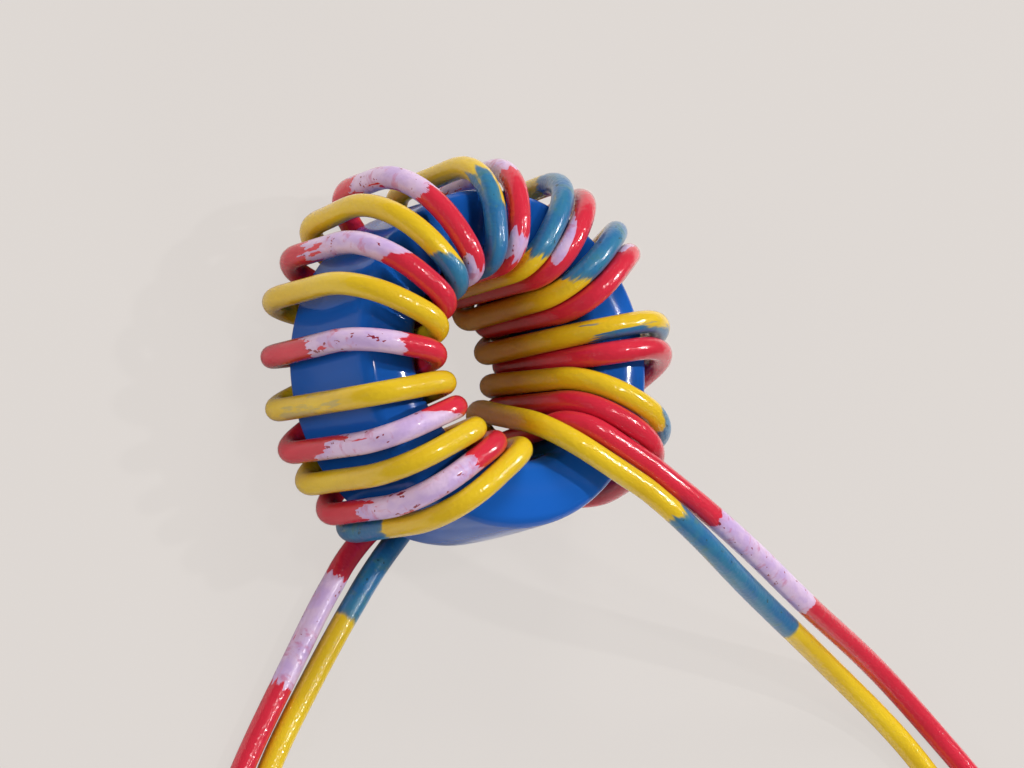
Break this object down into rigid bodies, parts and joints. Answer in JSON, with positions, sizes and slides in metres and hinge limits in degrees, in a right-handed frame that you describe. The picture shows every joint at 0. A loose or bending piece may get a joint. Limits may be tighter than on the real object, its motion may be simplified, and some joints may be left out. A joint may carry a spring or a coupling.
{
  "type": "toroidal inductor",
  "caption": "Coated ferrite ring wound by hand with a pair of insulated wires laid side by side, with free bare-ended leads, for filtering or coupling currents in a circuit.",
  "frame": {"origin": "on the ring's axis, on the plane that the coil lies on", "axes": "+Z along the ring's axis, up through the hole; the free leads run towards -Y"},
  "size_m": [0.0417, 0.0446, 0.0081],
  "materials": {
    "ring_coating": "glossy epoxy coat on ferrite",
    "yellow_insulation": "glossy extruded plastic with faded blue ink bands",
    "red_insulation": "glossy extruded plastic with worn white ink bands",
    "copper": "bare drawn copper"
  },
  "bodies": {
    "root": {"ring_core": "ring_coating", "yellow_winding": "yellow_insulation", "yellow_start_lead": "yellow_insulation", "yellow_finish_lead": "yellow_insulation", "red_winding": "red_insulation", "red_start_lead": "red_insulation", "red_finish_lead": "red_insulation", "yellow_start_end": "copper", "yellow_finish_end": "copper", "red_start_end": "copper", "red_finish_end": "copper"}
  },
  "joints": []
}
